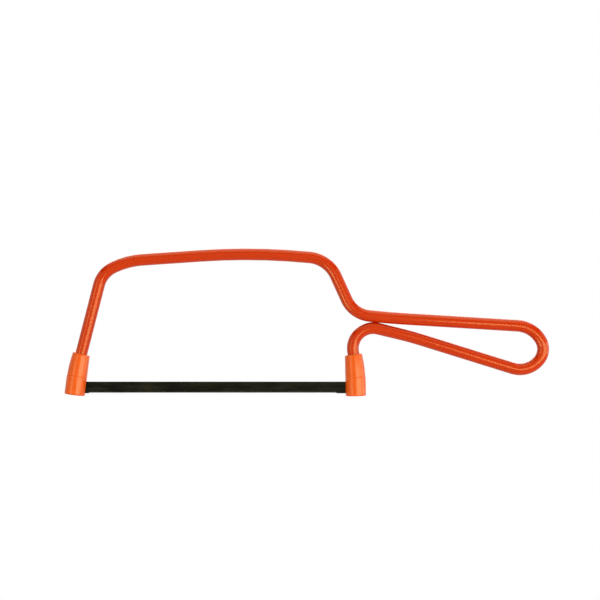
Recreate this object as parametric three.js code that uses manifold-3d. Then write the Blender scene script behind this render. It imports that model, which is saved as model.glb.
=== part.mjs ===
// Junior hacksaw: one bent steel rod that is both bow and handle, a moulded
// cap pushed over each rod end, and a 150 mm pin-end blade held in tension.
//
// The saw stands upright in the XZ plane: +X towards the handle, +Z up, teeth
// down. It is drawn with the front pin above x = 0 and both caps on z = 0, and
// the finished group is then moved to put x = 0 under its middle.

import * as THREE from 'three';
import { mergeVertices } from 'three/addons/utils/BufferGeometryUtils.js';
import Module from 'manifold-3d';

const wasm = await Module();
wasm.setup();

// Driving dimensions, in millimetres and degrees.

const clearance = 0.2; // between faces that touch or slide on the real saw

// Blade and its pins.
const pinSpacing = 150;
const bladeWidth = 6.0; // from the back to the tooth tips
const bladeThickness = 0.65;
const bladeEndMargin = 1.6; // beyond each pin's centre
const bladeEndRadius = 2.4;
const toothTipHeight = 1.45; // the caps reach this far below the teeth
const toothPitch = 25.4 / 24; // 24 teeth to the inch
const toothDepth = 0.62;
const toothFrontShare = 0.15; // share of the pitch taken by the steep front face
const teethFromFrontPin = 9.4; // the teeth point forwards, away from the handle
const teethFromRearPin = 11.8;
const pinDiameter = 1.9;
const pinLength = 4.5;

// Rod: a bar with a baked coat, bent in one plane.
const rodDiameter = 6.2;
const rodEndHeight = 2.8; // where the axis ends, inside the cap
const frontTilt = 14.4; // front arm from the vertical, foot outwards
const rearTilt = 8.4; // rear arm from the vertical, foot outwards
const pinOffset = 1.05; // from the rod's axis out to the pin's axis
const junctionGap = 0.12; // where the handle's two runs meet

// Bow: each corner is where two straights would meet, and has a bend radius.
const bowHeight = 74.5; // of the crown
const crownSetback = 54.5; // in front of the rear pin
const crownRadius = 377;
const crownRise = 3.9; // slope of the bar up to the crown
const crownFall = 5.5; // slope of the bar behind the crown
const foreheadReach = 29.5; // behind the front pin
const foreheadRadius = 41.7;
const browDrop = 6.2; // of the front arm's top below the forehead
const browRadius = 14.1;
const shoulderSetback = 16.7; // in front of the rear pin
const shoulderRadius = 18.2;
const neckSetback = 3.7; // in front of the rear pin
const neckRadius = 14.5;

// Handle: a loop whose two runs meet at the neck. Its end has three corners,
// measured back from the handle's far end and down from the neck. Each run is
// slightly bowed at a corner near the neck, measured behind the rear pin.
const handleReach = 97.7; // from the rear pin to the outside of the far end
const handleTop = { back: 8.2, down: 6.4, radius: 14.8 };
const handleNose = { back: 1.5, down: 18.7, radius: 9.0 };
const handleHeel = { back: 10.3, down: 30.6, radius: 12.8 };
const upperRunBow = { behind: 17.4, down: 2.0, radius: 200 };
const lowerRunBow = { behind: 26.0, down: 11.5, radius: 150 };
const rearBendRadius = 10.5;
const rearStraight = 1.5; // straight rod between the rear cap and its bend

// Caps: both are the same moulding, with a straight inner side and a flank
// that flares outwards to follow the tilted bore.
const capHeight = 21.5;
const boreTilt = 7.2; // of the bore, from the cap's own axis
const collarWall = 1.4; // around the rod at the top
const flankWall = 0.7; // beside the rod, just above the pin's shoulder
const skirtWall = 0.85; // round the hollow that the pin sits in
const pinRoom = 0.4; // from the pin's ends to the skirt
const flankLength = 14; // height of the flared stretch
const slotHeadroom = 0.8; // above the blade's back
const collarFloor = 1.4; // from the slot's head to the solid collar

// Facets.
const rodSides = 16;
const capSides = 32;
const pinSides = 16;
const flankRings = 6;
const bendStep = 7.5; // degrees of bend in one facet
const halvings = 40; // of the range that the neck's height is found in

// Sizes and places that follow from them.

const rodRadius = rodDiameter / 2;
const pinRadius = pinDiameter / 2;
const pinHeight = toothTipHeight + bladeWidth / 2;
const bladeTop = toothTipHeight + bladeWidth;
const slitWidth = bladeThickness + 2 * clearance;
const pinShoulder = pinHeight + pinRadius + clearance;
const boreRadius = rodRadius + clearance;
const capTopRadius = rodRadius + collarWall;
const capBottomRadius = Math.max(radiusRoundRod(), radiusRoundPin());
const slotHeight = bladeTop + slotHeadroom;
const skirtDepth = slotHeight + collarFloor;

// An end of the saw: its pin, the way outwards along X, and its arm's tilt.
const front = { pinX: 0, outward: -1, tilt: frontTilt };
const rear = { pinX: pinSpacing, outward: 1, tilt: rearTilt };

function sin(degrees) {
  return Math.sin(THREE.MathUtils.degToRad(degrees));
}

function cos(degrees) {
  return Math.cos(THREE.MathUtils.degToRad(degrees));
}

function tan(degrees) {
  return Math.tan(THREE.MathUtils.degToRad(degrees));
}

// The cap's bottom radius that leaves the flank's wall beside the rod. The
// cap's centre lies one radius out from its straight inner side.
function radiusRoundRod() {
  const boreOut = capTopRadius + (capHeight - pinShoulder) * tan(boreTilt);
  return (boreOut + boreRadius + flankWall) / 2;
}

// The cap's bottom radius whose hollow leaves room round the pin's ends.
function radiusRoundPin() {
  const boreOut = capTopRadius + (capHeight - pinHeight) * tan(boreTilt);
  const pinOut = boreOut + pinOffset + pinRadius;
  const wall = skirtWall + pinRoom;
  return (pinOut ** 2 + (pinLength / 2) ** 2 - wall ** 2) / (2 * (pinOut - wall));
}

// Solids: geometry to a solid that can be cut, and back.

function toSolid(geometry) {
  geometry.deleteAttribute('normal');
  geometry.deleteAttribute('uv');
  const merged = mergeVertices(geometry);
  return new wasm.Manifold(new wasm.Mesh({
    numProp: 3,
    vertProperties: new Float32Array(merged.attributes.position.array),
    triVerts: new Uint32Array(merged.index.array),
  }));
}

function toGeometry(solid) {
  const mesh = solid.getMesh();
  const geometry = new THREE.BufferGeometry();
  geometry.setAttribute('position', new THREE.BufferAttribute(mesh.vertProperties, 3));
  geometry.setIndex(new THREE.BufferAttribute(mesh.triVerts, 1));
  geometry.computeVertexNormals();
  return geometry;
}

// A box between two corners, as a solid.
function block(low, high) {
  const size = high.clone().sub(low);
  const geometry = new THREE.BoxGeometry(size.x, size.y, size.z);
  geometry.translate(low.x + size.x / 2, low.y + size.y / 2, low.z + size.z / 2);
  return toSolid(geometry);
}

// An upright round bar from z = bottom to z = top, as a geometry.
function uprightBar(radius, bottom, top, sides) {
  const geometry = new THREE.CylinderGeometry(radius, radius, top - bottom, sides);
  geometry.rotateX(Math.PI / 2);
  geometry.translate(0, 0, (bottom + top) / 2);
  return geometry;
}

// Rod centreline. Its points are 2-D, with y as the height.

// A point on an arm's axis at a height, in the XZ plane.
function onArm(end, height) {
  const axisX = end.pinX - end.outward * (pinOffset / cos(end.tilt));
  const lean = -end.outward * tan(end.tilt) * (height - pinHeight);
  return new THREE.Vector2(axisX + lean, height);
}

// The point where the line from p along u meets the line from q along v.
function meet(p, u, q, v) {
  const along = q.clone().sub(p).cross(v) / u.cross(v);
  return p.clone().addScaledVector(u, along);
}

const corner = (point, radius) => ({ point, radius });

// The direction from one corner to the next, as a unit vector.
function heading(corners, i) {
  return corners[i + 1].point.clone().sub(corners[i].point).normalize();
}

// How far the line turns at a corner, in radians, positive to the left.
function turnAt(corners, i) {
  const before = heading(corners, i - 1);
  const after = heading(corners, i);
  return Math.atan2(before.cross(after), before.dot(after));
}

// How far each corner's bend reaches along its straights. Where two bends ask
// for more than the straight between them, both are made smaller.
function bendReaches(corners) {
  const last = corners.length - 1;
  const reaches = corners.map(({ radius }, i) => {
    if (i === 0 || i === last) return 0;
    return radius * Math.tan(Math.abs(turnAt(corners, i)) / 2);
  });
  const shares = reaches.map(() => 1);
  for (let i = 0; i < corners.length - 1; i++) {
    const length = corners[i].point.distanceTo(corners[i + 1].point);
    const share = Math.min(1, length / (reaches[i] + reaches[i + 1]));
    shares[i] = Math.min(shares[i], share);
    shares[i + 1] = Math.min(shares[i + 1], share);
  }
  return reaches.map((reach, i) => reach * shares[i]);
}

// Points and directions along a line of rounded corners.
function stations(corners) {
  const reaches = bendReaches(corners);
  const last = corners.length - 1;
  const list = [{ point: corners[0].point, direction: heading(corners, 0) }];
  for (let i = 1; i < last; i++) {
    const turn = turnAt(corners, i);
    const radius = reaches[i] / Math.tan(turn / 2);
    const before = heading(corners, i - 1);
    const start = corners[i].point.clone().addScaledVector(before, -reaches[i]);
    const toCentre = new THREE.Vector2(-before.y, before.x).multiplyScalar(radius);
    const centre = start.clone().add(toCentre);
    const steps = Math.ceil(Math.abs(THREE.MathUtils.radToDeg(turn)) / bendStep);
    for (let k = 0; k <= steps; k++) {
      const swept = (turn * k) / steps;
      list.push({
        point: start.clone().rotateAround(centre, swept),
        direction: before.clone().rotateAround(new THREE.Vector2(), swept),
      });
    }
  }
  list.push({ point: corners[last].point, direction: heading(corners, last - 1) });
  return list;
}

// The centreline as a curve in the XZ plane, which steps from one station to
// the next.
class Centreline extends THREE.Curve {
  constructor(list) {
    super();
    this.list = list;
  }

  station(t) {
    return this.list[Math.round(t * (this.list.length - 1))];
  }

  // The stations are taken as evenly spaced.
  getUtoTmapping(u) {
    return u;
  }

  getPoint(t) {
    const { point } = this.station(t);
    return new THREE.Vector3(point.x, 0, point.y);
  }

  getTangent(t) {
    const { direction } = this.station(t);
    return new THREE.Vector3(direction.x, 0, direction.y);
  }
}

// A corner of the handle, below a neck at the given height.
function handleCorner(behindPin, { down, radius }, neckHeight) {
  return corner(new THREE.Vector2(rear.pinX + behindPin, neckHeight - down), radius);
}

// Front arm, bow and the start of the upper run, for a neck at a height.
function upperCorners(neckHeight) {
  const crown = new THREE.Vector2(rear.pinX - crownSetback, bowHeight);
  const forehead = new THREE.Vector2(front.pinX + foreheadReach, bowHeight);
  const shoulder = new THREE.Vector2(rear.pinX - shoulderSetback, bowHeight);
  forehead.y -= (crown.x - forehead.x) * tan(crownRise);
  shoulder.y -= (shoulder.x - crown.x) * tan(crownFall);
  const neck = new THREE.Vector2(rear.pinX - neckSetback, neckHeight);
  return [
    corner(onArm(front, rodEndHeight)),
    corner(onArm(front, forehead.y - browDrop), browRadius),
    corner(forehead, foreheadRadius),
    corner(crown, crownRadius),
    corner(shoulder, shoulderRadius),
    corner(neck, neckRadius),
    handleCorner(upperRunBow.behind, upperRunBow, neckHeight),
  ];
}

// The handle's end and the start of the lower run.
function endCorners(neckHeight) {
  return [
    ...[handleTop, handleNose, handleHeel].map(
      (place) => handleCorner(handleReach - place.back, place, neckHeight),
    ),
    handleCorner(lowerRunBow.behind, lowerRunBow, neckHeight),
  ];
}

// The rear bend starts a short straight above the rear cap.
function rearBendCentre() {
  const start = onArm(rear, capTopHeight(rear) + rearStraight);
  const toCentre = new THREE.Vector2(cos(rear.tilt), sin(rear.tilt));
  return start.addScaledVector(toCentre, rearBendRadius);
}

// The least distance from a point to a line of rounded corners.
function distanceToCentreline(point, corners) {
  const list = stations(corners);
  const segment = new THREE.Line3();
  const nearest = new THREE.Vector3();
  const target = new THREE.Vector3(point.x, point.y, 0);
  let least = Infinity;
  for (let i = 1; i < list.length; i++) {
    segment.start.set(list[i - 1].point.x, list[i - 1].point.y, 0);
    segment.end.set(list[i].point.x, list[i].point.y, 0);
    segment.closestPointToPoint(target, true, nearest);
    least = Math.min(least, nearest.distanceTo(target));
  }
  return least;
}

// The neck's height that leaves the junction gap between the two runs.
function findNeckHeight() {
  const centre = rearBendCentre();
  const wanted = rearBendRadius + rodDiameter + junctionGap;
  let low = centre.y + rearBendRadius;
  let high = low + 2 * rodDiameter;
  for (let i = 0; i < halvings; i++) {
    const middle = (low + high) / 2;
    const corners = [...upperCorners(middle), ...endCorners(middle)];
    if (distanceToCentreline(centre, corners) < wanted) low = middle;
    else high = middle;
  }
  return high;
}

// All corners, from the front rod end round to the rear one. The lower run
// ends in the tangent from its bow to the rear bend.
function rodCorners() {
  const neckHeight = findNeckHeight();
  const corners = [...upperCorners(neckHeight), ...endCorners(neckHeight)];
  const bow = corners.at(-1).point;
  const centre = rearBendCentre();
  const toCentre = centre.clone().sub(bow);
  const tangent = toCentre.angle() - Math.asin(rearBendRadius / toCentre.length());
  const run = new THREE.Vector2(Math.cos(tangent), Math.sin(tangent));
  const foot = onArm(rear, rodEndHeight);
  const upArm = onArm(rear, capHeight).sub(foot);
  corners.push(corner(meet(bow, run, foot, upArm), rearBendRadius));
  corners.push(corner(foot));
  return corners;
}

// Caps. A cap's own frame has z = 0 at its bottom face, its straight inner side
// at x = -capBottomRadius, and +X outwards.

function capTilt(end) {
  return end.tilt - boreTilt;
}

// Height of the top face's centre over the ground, where the cap stands on
// the inner edge of its bottom face.
function capTopHeight(end) {
  const tilt = capTilt(end);
  const centreBack = capBottomRadius - capTopRadius;
  return capBottomRadius * sin(tilt) + capHeight * cos(tilt) - centreBack * sin(tilt);
}

function capRadiusAt(z) {
  const flare = Math.min(1, (capHeight - z) / flankLength);
  return capBottomRadius - (capBottomRadius - capTopRadius) * (1 - flare) ** 2;
}

function capGeometry() {
  const spare = capTopRadius * tan(boreTilt) + 1;
  const flankFoot = capHeight - flankLength;
  const profile = [new THREE.Vector2(0, 0), new THREE.Vector2(capBottomRadius, 0)];
  for (let i = 0; i <= flankRings; i++) {
    const z = flankFoot + (flankLength * i) / flankRings;
    profile.push(new THREE.Vector2(capRadiusAt(z), z));
  }
  profile.push(new THREE.Vector2(capTopRadius, capHeight + spare));
  profile.push(new THREE.Vector2(0, capHeight + spare));
  const outer = new THREE.LatheGeometry(profile, capSides);
  outer.rotateX(Math.PI / 2);
  const position = outer.attributes.position;
  for (let i = 0; i < position.count; i++) {
    const radius = capRadiusAt(Math.min(position.getZ(i), capHeight));
    position.setX(i, position.getX(i) + radius - capBottomRadius);
  }

  const topX = capTopRadius - capBottomRadius;
  const aboveTop = new THREE.BoxGeometry(4 * capTopRadius, 4 * capTopRadius, 2 * spare);
  aboveTop.translate(0, 0, spare);
  const bore = uprightBar(boreRadius, -2 * capHeight, 2 * spare, capSides);
  for (const cutter of [aboveTop, bore]) {
    cutter.rotateY(-THREE.MathUtils.degToRad(boreTilt));
    cutter.translate(topX, 0, capHeight);
  }
  const hollow = uprightBar(capBottomRadius - skirtWall, -1, skirtDepth, capSides);
  const slot = block(
    new THREE.Vector3(-2 * capBottomRadius, -slitWidth / 2, -1),
    new THREE.Vector3(0, slitWidth / 2, slotHeight),
  );
  return toGeometry(
    toSolid(outer)
      .subtract(toSolid(aboveTop))
      .subtract(toSolid(bore))
      .subtract(toSolid(hollow))
      .subtract(slot),
  );
}

// Puts a cap on its arm, with the top face's centre on the rod's axis.
function placeCap(mesh, end) {
  const tilt = THREE.MathUtils.degToRad(capTilt(end));
  const top = onArm(end, capTopHeight(end));
  mesh.rotation.y = -tilt;
  const turned = new THREE.Group();
  turned.rotation.z = end.outward > 0 ? 0 : Math.PI;
  turned.add(mesh);
  const topInCap = new THREE.Vector3(capTopRadius - capBottomRadius, 0, capHeight);
  topInCap.applyEuler(mesh.rotation).applyEuler(turned.rotation);
  turned.position.set(top.x - topInCap.x, 0, top.y - topInCap.z);
  return turned;
}

// Frame rod.

function rodGeometry() {
  const section = new THREE.Shape();
  for (let i = 0; i < rodSides; i++) {
    const angle = (2 * Math.PI * i) / rodSides;
    const x = rodRadius * Math.cos(angle);
    const y = rodRadius * Math.sin(angle);
    if (i === 0) section.moveTo(x, y);
    else section.lineTo(x, y);
  }
  section.closePath();
  const list = stations(rodCorners());
  const bar = new THREE.ExtrudeGeometry(section, {
    steps: list.length - 1,
    extrudePath: new Centreline(list),
  });
  let solid = toSolid(bar);
  for (const end of [front, rear]) {
    solid = solid.subtract(bladeSlit(end)).subtract(pinFlat(end));
  }
  return toGeometry(solid);
}

// The slit that the blade's end passes through, in the saw's plane.
function bladeSlit(end) {
  const reach = 2 * rodDiameter;
  return block(
    new THREE.Vector3(end.pinX - reach, -slitWidth / 2, -1),
    new THREE.Vector3(end.pinX + reach, slitWidth / 2, bladeTop + clearance),
  );
}

// The upright flat on the rod's outer side that the pin pulls against, under a
// shoulder.
function pinFlat(end) {
  const seat = end.pinX - end.outward * (pinRadius + clearance);
  const beyond = end.pinX + end.outward * 2 * rodDiameter;
  return block(
    new THREE.Vector3(Math.min(seat, beyond), -rodDiameter, -1),
    new THREE.Vector3(Math.max(seat, beyond), rodDiameter, pinShoulder),
  );
}

// Blade and pins.

function bladeGeometry() {
  const left = front.pinX - bladeEndMargin;
  const right = rear.pinX + bladeEndMargin;
  const bottom = toothTipHeight;
  const r = bladeEndRadius;
  const outline = new THREE.Shape();
  outline.moveTo(left + r, bottom);
  const teethSpan = pinSpacing - teethFromFrontPin - teethFromRearPin;
  const teeth = Math.floor(teethSpan / toothPitch);
  outline.lineTo(front.pinX + teethFromFrontPin, bottom);
  for (let i = 1; i <= teeth; i++) {
    const tip = front.pinX + teethFromFrontPin + i * toothPitch;
    outline.lineTo(tip - toothFrontShare * toothPitch, bottom + toothDepth);
    outline.lineTo(tip, bottom);
  }
  outline.absarc(right - r, bottom + r, r, -Math.PI / 2, 0);
  outline.absarc(right - r, bladeTop - r, r, 0, Math.PI / 2);
  outline.absarc(left + r, bladeTop - r, r, Math.PI / 2, Math.PI);
  outline.absarc(left + r, bottom + r, r, Math.PI, (3 * Math.PI) / 2);
  for (const end of [front, rear]) {
    const hole = new THREE.Path();
    hole.absarc(end.pinX, pinHeight, pinRadius + clearance, 0, 2 * Math.PI, true);
    outline.holes.push(hole);
  }
  const geometry = new THREE.ExtrudeGeometry(outline, {
    depth: bladeThickness,
    bevelEnabled: false,
    curveSegments: 6,
  });
  geometry.translate(0, 0, -bladeThickness / 2);
  geometry.rotateX(Math.PI / 2);
  return geometry;
}

function pinMesh(name, end) {
  const geometry = new THREE.CylinderGeometry(pinRadius, pinRadius, pinLength, pinSides);
  const mesh = new THREE.Mesh(geometry, pinSteel);
  mesh.name = name;
  mesh.position.set(end.pinX, 0, pinHeight);
  return mesh;
}

// Materials.

const orangeCoat = new THREE.MeshStandardMaterial({
  color: '#db390b', roughness: 0.25, metalness: 0,
});
const orangePlastic = new THREE.MeshStandardMaterial({
  color: '#ed652e', roughness: 0.4, metalness: 0,
});
const blackBlade = new THREE.MeshStandardMaterial({
  color: '#1e1e19', roughness: 0.45, metalness: 0.3,
});
const pinSteel = new THREE.MeshStandardMaterial({
  color: '#8c8a84', roughness: 0.35, metalness: 1,
});

// The saw.

function named(name, geometry, material) {
  const mesh = new THREE.Mesh(geometry, material);
  mesh.name = name;
  return mesh;
}

const hacksaw = new THREE.Group();
hacksaw.add(
  named('frame_rod', rodGeometry(), orangeCoat),
  placeCap(named('front_cap', capGeometry(), orangePlastic), front),
  placeCap(named('rear_cap', capGeometry(), orangePlastic), rear),
  named('blade', bladeGeometry(), blackBlade),
  pinMesh('front_pin', front),
  pinMesh('rear_pin', rear),
);

hacksaw.updateMatrixWorld(true);
const extent = new THREE.Box3().setFromObject(hacksaw, true);
hacksaw.position.x = -(extent.min.x + extent.max.x) / 2;

export default hacksaw;
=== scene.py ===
import cmath
import math

import bmesh
import bpy
from mathutils import Matrix, Vector


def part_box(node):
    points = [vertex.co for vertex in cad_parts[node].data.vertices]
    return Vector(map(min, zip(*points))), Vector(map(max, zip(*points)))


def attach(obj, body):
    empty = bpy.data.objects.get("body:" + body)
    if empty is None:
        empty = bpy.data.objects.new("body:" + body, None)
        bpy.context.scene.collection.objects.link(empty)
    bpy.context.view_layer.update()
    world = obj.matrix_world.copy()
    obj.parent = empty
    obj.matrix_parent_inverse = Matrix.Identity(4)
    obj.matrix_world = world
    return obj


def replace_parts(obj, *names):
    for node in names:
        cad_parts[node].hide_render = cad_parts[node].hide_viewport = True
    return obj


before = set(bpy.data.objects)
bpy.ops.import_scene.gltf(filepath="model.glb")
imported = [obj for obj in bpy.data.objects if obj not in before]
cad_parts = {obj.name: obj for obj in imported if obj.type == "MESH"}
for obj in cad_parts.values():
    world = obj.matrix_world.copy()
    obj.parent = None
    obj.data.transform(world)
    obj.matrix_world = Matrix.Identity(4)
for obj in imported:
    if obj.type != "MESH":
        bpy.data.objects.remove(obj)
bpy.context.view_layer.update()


# --- Frame rod ---------------------------------------------------------------
# One mild steel bar, bent cold into the bow and the looped handle. Both ends
# are slit for the blade and filed flat for its pins, then it is sprayed with
# orange enamel and baked. Lengths below are millimetres, angles degrees.

MM = 0.001

rod_diameter = 6.2
rod_end_height = 2.8  # where the axis ends, inside the cap
pin_offset = 1.05  # from the rod's axis out to the pin's axis
coat_overlap = 0.08  # where the handle's two runs touch and their enamel runs together


def centre(node):
    """The middle of a CAD node's box, in millimetres."""
    low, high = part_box(node)
    return (low + high) / 2 / MM


front = {"pin": centre("front_pin"), "outward": -1, "tilt": math.radians(14.4)}
rear = {"pin": centre("rear_pin"), "outward": 1, "tilt": math.radians(8.4)}

# Bow: each corner is where two straights would meet, and has a bend radius.
bow_height = 74.5
crown_setback, crown_radius = 54.5, 377.0
crown_rise, crown_fall = math.radians(3.9), math.radians(5.5)
forehead_reach, forehead_radius = 29.5, 41.7
brow_drop, brow_radius = 6.2, 14.1
shoulder_setback, shoulder_radius = 16.7, 18.2
neck_setback, neck_radius = 3.7, 14.5

# Handle: corners as (behind the rear pin, below the neck, bend radius).
upper_run_bow = (17.4, 2.0, 200.0)
handle_top = (89.5, 6.4, 14.8)
handle_nose = (96.2, 18.7, 9.0)
handle_heel = (87.4, 30.6, 12.8)
lower_run_bow = (26.0, 11.5, 150.0)
rear_bend_radius = 10.5
rear_bend_start = 23.1  # height up the arm, 1.5 above the cap


def on_arm(end, height):
    """A point of an arm's axis at a height, as x + z i."""
    lean = pin_offset / math.cos(end["tilt"]) + math.tan(end["tilt"]) * (height - end["pin"].z)
    return complex(end["pin"].x - end["outward"] * lean, height)


def upper_corners(neck_height):
    """Corners from the front rod end to the handle's upper run."""
    crown = complex(rear["pin"].x - crown_setback, bow_height)
    forehead = complex(front["pin"].x + forehead_reach, bow_height)
    forehead -= 1j * (crown - forehead).real * math.tan(crown_rise)
    shoulder = complex(rear["pin"].x - shoulder_setback, bow_height)
    shoulder -= 1j * (shoulder - crown).real * math.tan(crown_fall)
    return [
        (on_arm(front, rod_end_height), 0),
        (on_arm(front, forehead.imag - brow_drop), brow_radius),
        (forehead, forehead_radius),
        (crown, crown_radius),
        (shoulder, shoulder_radius),
        (complex(rear["pin"].x - neck_setback, neck_height), neck_radius),
    ]


def handle_corners(neck_height):
    """Corners of the handle's loop, back to the start of the lower run."""
    places = [upper_run_bow, handle_top, handle_nose, handle_heel, lower_run_bow]
    return [
        (complex(rear["pin"].x + behind, neck_height - down), radius)
        for behind, down, radius in places
    ]


def stations(corners, bend_step=math.radians(2), straight_step=3.0):
    """Points and unit directions along a line of rounded corners."""
    points = [point for point, _ in corners]
    last = len(points) - 1
    heading = [(b - a) / abs(b - a) for a, b in zip(points, points[1:])]
    turn = [0] + [cmath.phase(heading[i] / heading[i - 1]) for i in range(1, last)] + [0]
    reach = [radius * math.tan(abs(turn[i]) / 2) for i, (_, radius) in enumerate(corners)]
    share = [1.0] * (last + 1)
    for i in range(last):
        room = abs(points[i + 1] - points[i])
        for k in (i, i + 1):
            share[k] = min(share[k], room / (reach[i] + reach[i + 1]))
    found = [(points[0], heading[0])]
    for i in range(1, last + 1):
        tangent_point = points[i] - heading[i - 1] * reach[i] * share[i]
        here = found[-1][0]
        pieces = max(1, round(abs(tangent_point - here) / straight_step))
        for k in range(1, pieces + 1):
            found.append((here + (tangent_point - here) * k / pieces, heading[i - 1]))
        if turn[i]:
            radius = reach[i] * share[i] / math.tan(turn[i] / 2)
            bend_centre = tangent_point + 1j * heading[i - 1] * radius
            pieces = math.ceil(abs(turn[i]) / bend_step)
            for k in range(1, pieces + 1):
                swing = cmath.exp(1j * turn[i] * k / pieces)
                point = bend_centre + (tangent_point - bend_centre) * swing
                found.append((point, heading[i - 1] * swing))
    return found


def distance(point, line):
    """The least distance from a point to a line of stations."""
    least = math.inf
    for (a, _), (b, _) in zip(line, line[1:]):
        along = ((point - a) * (b - a).conjugate()).real / abs(b - a) ** 2
        least = min(least, abs(a + (b - a) * min(1, max(0, along)) - point))
    return least


def rod_corners():
    """All corners. The neck's height lets the handle's runs touch over the rear bend."""
    arm_up = on_arm(rear, rear_bend_start) - on_arm(rear, rod_end_height)
    arm_up /= abs(arm_up)
    bend_centre = on_arm(rear, rear_bend_start) - 1j * arm_up * rear_bend_radius
    wanted = rear_bend_radius + rod_diameter - coat_overlap
    low = bend_centre.imag + rear_bend_radius
    high = low + 2 * rod_diameter
    while high - low > 1e-6:
        middle = (low + high) / 2
        line = stations(upper_corners(middle) + handle_corners(middle))
        if distance(bend_centre, line) < wanted:
            low = middle
        else:
            high = middle
    corners = upper_corners(high) + handle_corners(high)
    bow = corners[-1][0]
    to_centre = bend_centre - bow
    run = cmath.rect(1, cmath.phase(to_centre) - math.asin(rear_bend_radius / abs(to_centre)))
    foot = on_arm(rear, rod_end_height)
    along = ((foot - bow).conjugate() * arm_up).imag / (run.conjugate() * arm_up).imag
    return corners + [(bow + run * along, rear_bend_radius), (foot, 0)]


def swept(name, rings):
    """A closed piece through rings of points in millimetres, with a flat cap at each end."""
    mesh = bpy.data.meshes.new(name)
    shape = bmesh.new()
    rows = [[shape.verts.new(point) for point in ring] for ring in rings]
    for row, following in zip(rows, rows[1:]):
        for k in range(len(row)):
            shape.faces.new((row[k - 1], row[k], following[k], following[k - 1]))
    shape.faces.new(rows[0])
    shape.faces.new(reversed(rows[-1]))
    bmesh.ops.recalc_face_normals(shape, faces=shape.faces)
    shape.to_mesh(mesh)
    shape.free()
    mesh.transform(Matrix.Scale(MM, 4))
    piece = bpy.data.objects.new(name, mesh)
    bpy.context.scene.collection.objects.link(piece)
    return piece


weld = 0.002  # points nearer than this are one point


def carve(piece, cutters, edge_radius, creases=math.radians(35)):
    """Cuts the cutters out of a piece, rounds its sharp edges, and smooths the rest."""
    for cutter in cutters:
        cut = piece.modifiers.new("cut", "BOOLEAN")
        cut.operation = "DIFFERENCE"
        cut.solver = "EXACT"
        cut.object = cutter
    if edge_radius:
        edge = piece.modifiers.new("edge", "BEVEL")
        edge.width = edge_radius * MM
        edge.segments = 3
        edge.limit_method = "ANGLE"
        edge.angle_limit = creases
        edge.harden_normals = True
    graph = bpy.context.evaluated_depsgraph_get()
    finished = bpy.data.meshes.new_from_object(piece.evaluated_get(graph))
    piece.modifiers.clear()
    piece.data = finished
    shape = bmesh.new()
    shape.from_mesh(finished)
    bmesh.ops.remove_doubles(shape, verts=shape.verts, dist=weld * MM)
    bmesh.ops.dissolve_degenerate(shape, edges=shape.edges, dist=weld * MM)
    shape.to_mesh(finished)
    shape.free()
    for cutter in cutters:
        bpy.data.objects.remove(cutter)
    finished.shade_smooth()
    finished.set_sharp_from_angle(angle=creases)
    return piece


def block(low, high):
    """A cutter between two corners, in millimetres."""
    corners = [(low[1], low[2]), (high[1], low[2]), (high[1], high[2]), (low[1], high[2])]
    return swept("cutter", [[(x, y, z) for y, z in corners] for x in (low[0], high[0])])


rod_sides = 64
rod_rings = []
for point, heading in stations(rod_corners()):
    across = heading * 1j * rod_diameter / 2
    ring = []
    for k in range(rod_sides):
        angle = math.tau * k / rod_sides
        shift = across * math.cos(angle)
        y = rod_diameter / 2 * math.sin(angle)
        ring.append((point.real + shift.real, y, point.imag + shift.imag))
    rod_rings.append(ring)
bent_rod = swept("bent_rod", rod_rings)

blade_low, blade_high = (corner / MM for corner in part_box("blade"))
slit_half = 0.5  # half the slit's width, a little over the blade's half thickness
slit_headroom = 0.2
cut_edge = 0.12  # radius that filing and coating leave on a cut edge
pin_diameter = (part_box("front_pin")[1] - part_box("front_pin")[0]).x / MM
flat_set = pin_diameter / 2 + 0.05  # from the pin's axis in to the flat it bears on
cutters = []
for end in (front, rear):
    pin = end["pin"]
    seat = pin.x - end["outward"] * flat_set
    beyond = pin.x + end["outward"] * 2 * rod_diameter
    shoulder = pin.z + pin_diameter / 2 + slit_headroom
    reach = 2 * rod_diameter
    slit_top = blade_high.z + slit_headroom
    cutters.append(block((pin.x - reach, -slit_half, -1), (pin.x + reach, slit_half, slit_top)))
    cutters.append(block((min(seat, beyond), -reach, -1), (max(seat, beyond), reach, shoulder)))
carve(bent_rod, cutters, cut_edge)


def linear(code):
    """An sRGB hex colour as linear red, green, blue and alpha."""
    shares = [int(code[i : i + 2], 16) / 255 for i in (1, 3, 5)]
    return [c / 12.92 if c <= 0.04045 else ((c + 0.055) / 1.055) ** 2.4 for c in shares] + [1]


def add(tree, kind, inputs=(), **settings):
    """Adds a shader node, sets its properties, and fills its inputs with values or links."""
    made = tree.nodes.new("ShaderNode" + kind)
    for key, value in settings.items():
        setattr(made, key, value)
    for key, value in dict(inputs).items():
        if isinstance(value, bpy.types.NodeSocket):
            tree.links.new(value, made.inputs[key])
        else:
            made.inputs[key].default_value = value
    return made


def material(name):
    """A new material, with its node tree and its output node."""
    made = bpy.data.materials.new(name)
    made.use_nodes = True
    made.node_tree.nodes.clear()
    return made, made.node_tree, add(made.node_tree, "OutputMaterial")


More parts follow.
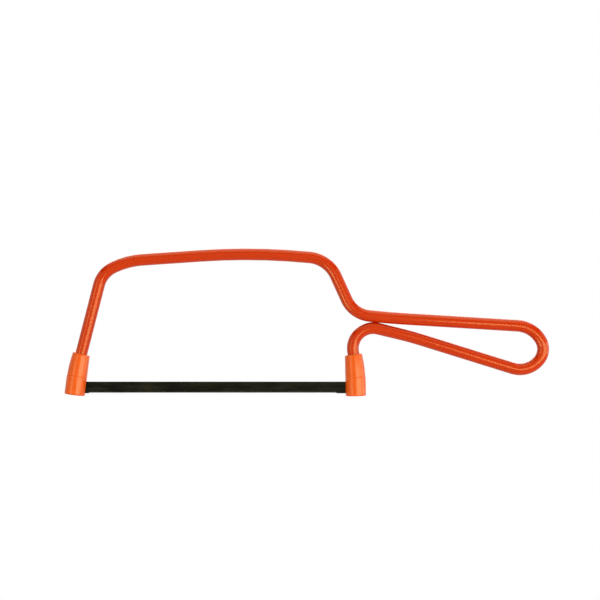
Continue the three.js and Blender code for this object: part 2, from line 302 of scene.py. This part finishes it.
# Stoved enamel: sprayed and baked, so it flows out glossy with a faint orange
# peel, a few dust nibs, and a rub here and there from handling. Its gloss has
# a warm tint, because white reflections would turn the strong orange pink.
enamel, tree, output = material("stoved_orange_enamel")
place = add(tree, "TexCoord").outputs["Object"]
cloud = add(tree, "TexNoise", {"Vector": place, "Scale": 1 / (14 * MM), "Detail": 2})
tone = add(tree, "Mix", {0: cloud.outputs["Fac"], 6: linear("#bc2700"), 7: linear("#c52e01")},
           data_type="RGBA")
rub = add(tree, "TexNoise", {"Vector": place, "Scale": 1 / (5 * MM), "Detail": 5})
gloss = add(tree, "MapRange", {"Value": rub.outputs["Fac"], "From Min": 0.35, "From Max": 0.75,
                               "To Min": 0.09, "To Max": 0.15})
peel = add(tree, "TexNoise", {"Vector": place, "Scale": 1 / (1.6 * MM), "Detail": 1})
peel_bump = add(tree, "Bump", {"Height": peel.outputs["Fac"], "Distance": 0.004 * MM, "Strength": 0.5})
nib = add(tree, "TexVoronoi", {"Vector": place, "Scale": 1 / (7 * MM)})
nib_height = add(tree, "MapRange", {"Value": nib.outputs["Distance"], "From Min": 0.0,
                                    "From Max": 0.035, "To Min": 1, "To Max": 0})
nib_bump = add(tree, "Bump", {"Height": nib_height.outputs["Result"], "Distance": 0.004 * MM,
                              "Strength": 0.4, "Normal": peel_bump.outputs["Normal"]})
shader = add(tree, "BsdfPrincipled", {
    "Base Color": tone.outputs[2], "Roughness": gloss.outputs["Result"], "IOR": 1.46,
    "Specular Tint": linear("#ffde90"), "Normal": nib_bump.outputs["Normal"]})
tree.links.new(shader.outputs["BSDF"], output.inputs["Surface"])

bent_rod.data.materials.clear()
bent_rod.data.materials.append(enamel)
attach(bent_rod, "frame")
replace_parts(bent_rod, "frame_rod")


# --- End caps ----------------------------------------------------------------
# Two sleeves from one mould, of orange polypropylene, pushed over the rod's
# ends. Each is straight on its inner side and flares outwards, is slotted for
# the blade, and hides the pin in the hollow of its skirt.

cap_height = 21.5
cap_top_radius = 4.5
cap_bottom_radius = 5.29
bore_tilt = math.radians(7.2)
flare_length = 14.0
skirt_wall = 0.85
skirt_depth = 9.65
slot_half = 0.5
slot_height = 8.25
bore_radius = rod_diameter / 2 + 0.03
lip_height = 9.8  # of the step where the thicker skirt ends
lip_rise = 0.07
lip_ramp = 0.12  # height over which the step rises
lip_groove = 0.09  # depth of the fine line that the mould leaves at the lip
groove_half = 0.14
cap_edge = 0.45  # radius of the moulded edges at top and bottom
seam_rise = 0.03  # of the line where the two mould halves met
cap_sides = 96
ring_step = 0.5
lip_ring_step = 0.035
cap_creases = math.radians(55)  # sharper turns than this are edges; the lip's are softer


def cap_radius(z):
    """The outer radius at a height, with the skirt's lip."""
    flare = min(1, (cap_height - z) / flare_length)
    radius = cap_bottom_radius - (cap_bottom_radius - cap_top_radius) * (1 - flare) ** 2
    lip = min(1, max(0, (lip_height - z) / lip_ramp))
    groove = lip_groove * max(0, 1 - abs(z - lip_height) / groove_half)
    return radius - lip_rise * (1 - lip * lip * (3 - 2 * lip)) - groove


def cap_ring(z, inset=0.0):
    """A ring of the cap in its own frame. Towards the top it leans over to the bore's tilt."""
    rise = min(1, max(0, (z - lip_height) / (cap_height - lip_height)))
    lean = bore_tilt * rise * rise * (3 - 2 * rise)
    radius = cap_radius(z) - inset
    ring = []
    for k in range(cap_sides):
        angle = math.tau * k / cap_sides
        seam = seam_rise if k % (cap_sides // 2) == 0 and not inset else 0
        x = (radius + seam) * math.cos(angle)
        y = radius * math.sin(angle)
        turned = (x * math.cos(lean), y, x * math.sin(lean))
        ring.append(Vector((cap_radius(z) - cap_bottom_radius, 0, z)) + Vector(turned))
    return ring


def cap_rings():
    """Rings from the bottom face up to the top face, with rounded edges."""
    turns = [math.radians(15 * step) for step in range(7)]
    rings = [cap_ring(cap_edge * (1 - math.cos(t)), cap_edge * (1 - math.sin(t))) for t in turns]
    z = cap_edge + ring_step
    while z < lip_height - 0.3:
        rings.append(cap_ring(z))
        z += ring_step
    for step in range(-6, 7):
        rings.append(cap_ring(lip_height + lip_ring_step * step))
    z = lip_height + ring_step
    while z < cap_height - cap_edge - 0.2:
        rings.append(cap_ring(z))
        z += ring_step
    for t in turns:
        top = cap_height - cap_edge * (1 - math.sin(t))
        rings.append(cap_ring(top, cap_edge * (1 - math.cos(t))))
    return rings


def round_bar(low, high, radius, sides):
    """An upright round cutter on the Z axis, in millimetres."""
    angles = [math.tau * k / sides for k in range(sides)]
    circle = [(radius * math.cos(a), radius * math.sin(a)) for a in angles]
    return swept("cutter", [[(x, y, z) for x, y in circle] for z in (low, high)])


def make_cap(name, end):
    """One cap, made in its own frame and then pushed onto its arm."""
    cap = swept(name, cap_rings())
    top_x = cap_top_radius - cap_bottom_radius
    bore = round_bar(-2 * cap_height, 2 * cap_height, bore_radius, cap_sides)
    bore.data.transform(
        Matrix.Translation(Vector((top_x, 0, cap_height)) * MM) @ Matrix.Rotation(-bore_tilt, 4, "Y"))
    hollow = round_bar(-1, skirt_depth, cap_bottom_radius - skirt_wall, cap_sides)
    slot = block((-2 * cap_bottom_radius, -slot_half, -1), (0, slot_half, slot_height))
    carve(cap, [bore, hollow, slot], cut_edge, cap_creases)
    tilt = end["tilt"] - bore_tilt
    top_height = cap_bottom_radius * math.sin(tilt) + cap_height * math.cos(tilt)
    top_height += top_x * math.sin(tilt)
    top = on_arm(end, top_height)
    out = end["outward"]
    cap_x = Vector((out * math.cos(tilt), 0, math.sin(tilt)))
    cap_z = Vector((-out * math.sin(tilt), 0, math.cos(tilt)))
    turn = Matrix((cap_x, cap_z.cross(cap_x), cap_z)).transposed()
    foot = Vector((top.real, 0, top.imag)) - turn @ Vector((top_x, 0, cap_height))
    cap.data.transform(Matrix.Translation(foot * MM) @ turn.to_4x4())
    cap.data.materials.clear()
    cap.data.materials.append(plastic)
    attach(cap, "frame")
    return cap


# Moulded polypropylene: semi-gloss and a little waxy, with the mould's fine
# spark-eroded grain, flow marks that run up the wall, and a warm tint in its
# gloss for the same reason as the enamel's.
plastic, tree, output = material("moulded_orange_polypropylene")
place = add(tree, "TexCoord").outputs["Object"]
flow_place = add(tree, "Mapping", {"Vector": place, "Scale": (1, 1, 0.2)})
flow = add(tree, "TexNoise", {"Vector": flow_place.outputs["Vector"], "Scale": 1 / (2.5 * MM),
                              "Detail": 3})
tone = add(tree, "Mix", {0: flow.outputs["Fac"], 6: linear("#dd4e02"), 7: linear("#e35806")},
           data_type="RGBA")
gloss = add(tree, "MapRange", {"Value": flow.outputs["Fac"], "From Min": 0.3, "From Max": 0.7,
                               "To Min": 0.21, "To Max": 0.28})
# The real grain is about 0.05 mm; it is drawn at 0.25 mm so that it shows.
grain = add(tree, "TexNoise", {"Vector": place, "Scale": 1 / (0.25 * MM), "Detail": 2})
grain_bump = add(tree, "Bump", {"Height": grain.outputs["Fac"], "Distance": 0.01 * MM,
                                "Strength": 0.5})
shader = add(tree, "BsdfPrincipled", {
    "Base Color": tone.outputs[2], "Roughness": gloss.outputs["Result"], "IOR": 1.49,
    "Specular Tint": linear("#fff0b8"), "Normal": grain_bump.outputs["Normal"]})
tree.links.new(shader.outputs["BSDF"], output.inputs["Surface"])

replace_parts(make_cap("front_cap_moulding", front), "front_cap")
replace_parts(make_cap("rear_cap_moulding", rear), "rear_cap")


# --- Blade -------------------------------------------------------------------
# A strip of hardened high-carbon steel, ground to thickness, toothed along its
# lower edge and lacquered black. Its teeth are set left, right and straight in
# turn, and point forwards. Its ends are rounded and drilled for the pins.

blade_half = (blade_high.y - blade_low.y) / 2
end_margin = 1.6  # beyond each pin's centre
end_radius = 2.4
tooth_pitch = 25.4 / 24
tooth_depth = 0.62
front_share = 0.15  # share of the pitch taken by a tooth's steep front
teeth_from_front, teeth_from_rear = 9.4, 11.8
tooth_set = 0.13  # of a tip to its side
set_height = 1.1  # above the tips, where the bending starts
flat_start = 0.25  # above the bend, from where the blade is dead flat
gullet_round = 0.14
gullet_rise = 0.9  # share of the depth where the gullet's curve starts
tip_land = 0.05
back_edge = 0.08  # chamfer along the blade's back
waist_rise = 0.1  # least height from the edge up to the waist, where the bending starts
pin_sides = 48


def blade_edge():
    """From end to end: x, the edge's height over the tips, its set, the back's fall."""
    left, right = front["pin"].x - end_margin, rear["pin"].x + end_margin
    turns = [math.radians(10 * step) for step in range(10)]
    rounding = [(end_radius * (1 - math.cos(t)), end_radius * (1 - math.sin(t))) for t in turns]
    edge = [(left + x, z, 0, z) for x, z in rounding]
    start = front["pin"].x + teeth_from_front
    count = int((rear["pin"].x - teeth_from_rear - start) / tooth_pitch)
    edge.append((start, 0, 0, 0))
    for tooth in range(1, count + 1):
        tip = start + tooth * tooth_pitch
        gullet = tip - front_share * tooth_pitch
        side = (1, -1, 0)[tooth % 3] * tooth_set
        root = side * (1 - tooth_depth / set_height)
        edge.append((gullet - gullet_round, gullet_rise * tooth_depth, root, 0))
        edge.append((gullet, tooth_depth, root, 0))
        edge.append((tip, 0, side, 0))
        edge.append((tip + tip_land, 0, side, 0))
    edge.extend((right - x, z, 0, z) for x, z in reversed(rounding))
    return edge


blade_rings = []
for x, lift, side, fall in blade_edge():
    bottom = blade_low.z + lift
    waist = blade_low.z + max(set_height, lift + waist_rise)
    top = blade_high.z - fall
    left_half = [
        (side - blade_half, bottom),
        (-blade_half, waist),
        (-blade_half, waist + flat_start),
        (-blade_half, top - back_edge),
        (back_edge - blade_half, top),
    ]
    right_half = [
        (blade_half - back_edge, top),
        (blade_half, top - back_edge),
        (blade_half, waist + flat_start),
        (blade_half, waist),
        (side + blade_half, bottom),
    ]
    blade_rings.append([(x, y, z) for y, z in left_half + right_half])
blade = swept("toothed_blade", blade_rings)
holes = []
for end in (front, rear):
    hole = round_bar(-2, 2, pin_diameter / 2, pin_sides)
    hole.data.transform(
        Matrix.Translation(end["pin"] * MM) @ Matrix.Rotation(math.radians(90), 4, "X"))
    holes.append(hole)
carve(blade, holes, 0)

# Black lacquer over ground steel: satin and a touch olive, with the lines of the
# grinding just showing through. Lighter lengthwise patches are painted into its colour: partly
# the lacquer clouding where it flowed, partly a painted streaky reflection. The film
# is thin and a little dusty, so its gloss is weaker than its IOR would give.
lacquer, tree, output = material("black_lacquered_ground_steel")
place = add(tree, "TexCoord").outputs["Object"]
cloud_place = add(tree, "Mapping", {"Vector": place, "Scale": (0.2, 1, 1)})
cloud = add(tree, "TexNoise", {"Vector": cloud_place.outputs["Vector"], "Scale": 1 / (3 * MM),
                               "Detail": 3})
# Lighter patches: the lacquer's clouding and a painted streaky reflection, both in the base colour.
clouding_and_painted_reflection = add(tree, "MapRange", {"Value": cloud.outputs["Fac"], "From Min": 0.4, "From Max": 0.8})
tone = add(tree, "Mix", {0: clouding_and_painted_reflection.outputs["Result"], 6: linear("#020201"), 7: linear("#211f16")},
           data_type="RGBA")
# The real lines are about 0.05 mm apart; they are drawn at 0.3 mm so that they show.
line_place = add(tree, "Mapping", {"Vector": place, "Scale": (0.02, 1, 1)})
lines = add(tree, "TexNoise", {"Vector": line_place.outputs["Vector"], "Scale": 1 / (0.3 * MM),
                               "Detail": 2})
gloss = add(tree, "MapRange", {"Value": lines.outputs["Fac"], "From Min": 0.3, "From Max": 0.7,
                               "To Min": 0.15, "To Max": 0.22})
line_bump = add(tree, "Bump", {"Height": lines.outputs["Fac"], "Distance": 0.01 * MM,
                               "Strength": 0.6})
shader = add(tree, "BsdfPrincipled", {
    "Base Color": tone.outputs[2], "Roughness": gloss.outputs["Result"], "IOR": 1.42,
    "Specular IOR Level": 0.15, "Specular Tint": linear("#fff8c8"),
    "Normal": line_bump.outputs["Normal"]})
tree.links.new(shader.outputs["BSDF"], output.inputs["Surface"])

blade.data.materials.clear()
blade.data.materials.append(lacquer)
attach(blade, "blade_set")
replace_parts(blade, "blade")


# --- Blade pins --------------------------------------------------------------
# Two short pins of bright steel bar, turned with chamfered ends and pressed
# through the blade. The rod's flats pull on them and hold the blade taut.

pin_length = (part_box("front_pin")[1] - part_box("front_pin")[0]).y / MM
pin_chamfer = 0.25
pin_edge = 0.06

steel, tree, output = material("turned_bright_steel")
place = add(tree, "TexCoord").outputs["Object"]
# Tool marks run round the pin: drawn at 0.15 mm, about three times the real feed.
# At a scale of 1 the wave texture has 20 / tau bands in a unit.
marks = add(tree, "TexWave", {"Vector": place, "Scale": math.tau / 20 / (0.15 * MM), "Distortion": 1.0},
            bands_direction="Y")
gloss = add(tree, "MapRange", {"Value": marks.outputs["Fac"], "To Min": 0.24, "To Max": 0.38})
mark_bump = add(tree, "Bump", {"Height": marks.outputs["Fac"], "Distance": 0.005 * MM,
                               "Strength": 0.5})
stain = add(tree, "TexNoise", {"Vector": place, "Scale": 1 / (1.2 * MM), "Detail": 3})
tone = add(tree, "Mix", {0: stain.outputs["Fac"], 6: linear("#8f8b84"), 7: linear("#b4b0a8")},
           data_type="RGBA")
shader = add(tree, "BsdfPrincipled", {
    "Base Color": tone.outputs[2], "Metallic": 1.0, "Roughness": gloss.outputs["Result"],
    "Normal": mark_bump.outputs["Normal"]})
tree.links.new(shader.outputs["BSDF"], output.inputs["Surface"])

half, radius = pin_length / 2, pin_diameter / 2
profile = [(-half, radius - pin_chamfer), (pin_chamfer - half, radius),
           (half - pin_chamfer, radius), (half, radius - pin_chamfer)]
angles = [math.tau * k / pin_sides for k in range(pin_sides)]
pins = [("front_blade_pin", front, "front_pin"), ("rear_blade_pin", rear, "rear_pin")]
for name, end, node in pins:
    rings = []
    for y, r in profile:
        rings.append([end["pin"] + Vector((r * math.cos(a), y, r * math.sin(a))) for a in angles])
    pin = carve(swept(name, rings), [], pin_edge)
    pin.data.materials.append(steel)
    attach(pin, "blade_set")
    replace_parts(pin, node)


# --- Studio ------------------------------------------------------------------
# The saw hangs square to the camera, over a wide pale floor. It is lit by a
# long softbox on the right, one beside it, two small ones on the left, one
# behind, and a glowing sheet overhead. Lengths here are metres.

target = Vector((-0.0035, 0, 0.0497))  # middle of the picture, a little above the saw's own
camera_distance = 0.9
view_width = 0.3105  # of the picture, at the saw

camera = bpy.data.objects.new("camera", bpy.data.cameras.new("camera"))
camera.location = target - Vector((0, camera_distance, 0))
camera.rotation_euler = (math.radians(90), 0, 0)
camera.data.lens = camera.data.sensor_width * camera_distance / view_width
bpy.context.scene.collection.objects.link(camera)
bpy.context.scene.camera = camera


def softbox(name, azimuth, elevation, away, width, height, radiance):
    """A softbox that faces the saw. Azimuth 0 is at the camera, and 90 on the saw's right."""
    lamp = bpy.data.lights.new(name, "AREA")
    lamp.shape = "RECTANGLE"
    lamp.size, lamp.size_y = width, height
    lamp.energy = radiance * math.pi * width * height
    box = bpy.data.objects.new(name, lamp)
    turn, rise = math.radians(azimuth), math.radians(elevation)
    out = Vector((math.sin(turn) * math.cos(rise), -math.cos(turn) * math.cos(rise), math.sin(rise)))
    box.location = target + out * away
    box.rotation_euler = out.to_track_quat("Z", "Y").to_euler()
    box.visible_camera = False
    bpy.context.scene.collection.objects.link(box)


softbox("right_softbox", 36, -6, 1.0, 1.06, 0.46, 5.4)
softbox("side_softbox", 88, 0, 1.1, 0.8, 0.5, 2.8)
softbox("low_left_softbox", -41, -24, 1.0, 0.42, 0.42, 5.7)
softbox("left_softbox", -45, 3, 1.0, 0.3, 0.42, 3.0)
softbox("back_softbox", 180, 35, 1.4, 1.6, 0.8, 2.8)

# Overhead, a sheet of diffusion, lit from above and fading towards its edges.
sheet_half, sheet_height = 1.5, 1.1
sheet_level = 2.4  # at its middle, out to sheet_core
sheet_core = 0.15
sheet_mesh = bpy.data.meshes.new("overhead_sheet")
sheet_corners = [(-1, -1), (-1, 1), (1, 1), (1, -1)]
sheet_mesh.from_pydata(
    [(x * sheet_half, y * sheet_half, sheet_height) for x, y in sheet_corners], [], [(0, 1, 2, 3)])
sheet = bpy.data.objects.new("overhead_sheet", sheet_mesh)
sheet.visible_camera = False
bpy.context.scene.collection.objects.link(sheet)
silk, tree, output = material("lit_white_silk")
place = add(tree, "TexCoord").outputs["Object"]
middle = add(tree, "VectorMath", {0: place, 1: (0, 0, sheet_height)}, operation="DISTANCE")
level = add(tree, "MapRange", {"Value": middle.outputs["Value"], "From Min": sheet_core,
                               "From Max": sheet_half, "To Min": sheet_level, "To Max": 0.0},
            interpolation_type="SMOOTHSTEP")
glow = add(tree, "Emission", {"Color": (1, 1, 1, 1), "Strength": level.outputs["Result"]})
tree.links.new(glow.outputs[0], output.inputs["Surface"])
sheet.data.materials.append(silk)

floor_height = -0.6  # low enough for the blade to drop, and for the lights to stand
floor_thickness = 0.01
floor_radius = 4.0
floor_sides = 64
near, far = 0.3, 1.6  # from the middle, where the white starts to grow and is full
near_white = 0.6  # share of white near the middle

reach = floor_radius / MM
angles = [math.tau * k / floor_sides for k in range(floor_sides)]
floor = swept("floor", [
    [(reach * math.cos(a), reach * math.sin(a), z / MM) for a in angles]
    for z in (floor_height - floor_thickness, floor_height)
])


def shows_white(tree):
    """1 for the rays that see the white background: the camera's, and those of gloss and glass."""
    ray = add(tree, "LightPath").outputs
    gloss = add(tree, "Math", {0: ray["Is Glossy Ray"], 1: ray["Is Transmission Ray"]},
                operation="MAXIMUM")
    seen = add(tree, "Math", {0: ray["Is Camera Ray"], 1: gloss.outputs[0]}, operation="MAXIMUM")
    return seen.outputs[0]


# Matt pale grey paint, rolled on and faintly cloudy. To the rays that see the
# background it is part white, so that it keeps the saw's shadow, and all white
# further out.
paint, tree, output = material("pale_matt_floor_paint")
place = add(tree, "TexCoord").outputs["Object"]
cloud = add(tree, "TexNoise", {"Vector": place, "Scale": 3.0, "Detail": 3})
tone = add(tree, "Mix", {0: cloud.outputs["Fac"], 6: linear("#b9b9b7"), 7: linear("#c2c2c0")},
           data_type="RGBA")
matt = add(tree, "BsdfDiffuse", {"Color": tone.outputs[2]})
out = add(tree, "VectorMath", {0: place, 1: (0, 0, floor_height)}, operation="DISTANCE")
fade = add(tree, "MapRange", {"Value": out.outputs["Value"], "From Min": near, "From Max": far,
                              "To Min": near_white, "To Max": 1.0},
           interpolation_type="SMOOTHSTEP")
share = add(tree, "Math", {0: shows_white(tree), 1: fade.outputs["Result"]},
            operation="MULTIPLY")
white = add(tree, "Emission", {"Color": (1, 1, 1, 1), "Strength": 1.0})
both = add(tree, "MixShader", {0: share.outputs[0], 1: matt.outputs[0], 2: white.outputs[0]})
tree.links.new(both.outputs[0], output.inputs["Surface"])
floor.data.materials.append(paint)

# A dim room that lights the saw weakly, with white as its background.
room_level = 0.1
world = bpy.data.worlds.new("studio")
world.use_nodes = True
tree = world.node_tree
tree.nodes.clear()
level = add(tree, "Math", {0: shows_white(tree), 1: 1 - room_level, 2: room_level},
            operation="MULTIPLY_ADD")
sky = add(tree, "Background", {"Color": (1, 1, 1, 1), "Strength": level.outputs[0]})
add(tree, "OutputWorld", {"Surface": sky.outputs[0]})
bpy.context.scene.world = world

bpy.context.scene.view_settings.view_transform = "Standard"
